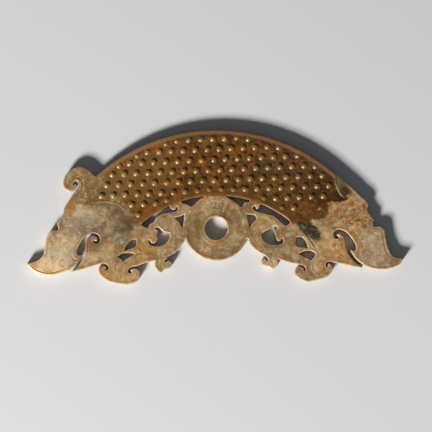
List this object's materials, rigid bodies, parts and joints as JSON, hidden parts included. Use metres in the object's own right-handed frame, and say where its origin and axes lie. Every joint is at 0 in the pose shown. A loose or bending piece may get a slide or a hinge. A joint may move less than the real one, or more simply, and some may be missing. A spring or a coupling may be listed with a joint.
{
  "type": "jade plaque",
  "caption": "Flat arched jade pendant: a band of raised grains ending in two dragon heads, with a pierced ring between two birds below it.",
  "frame": {"origin": "on the underside, where the ring's top touches the middle of the arch's inner edge", "axes": "+Z out of the carved face, +X along the length, +Y towards the top of the arch"},
  "size_m": [0.2102, 0.0857, 0.0051],
  "materials": {
    "jade": "polished nephrite, brown on the grain band and pale buff on the heads, birds and ring"
  },
  "bodies": {
    "root": {"plaque": "jade"}
  },
  "joints": []
}
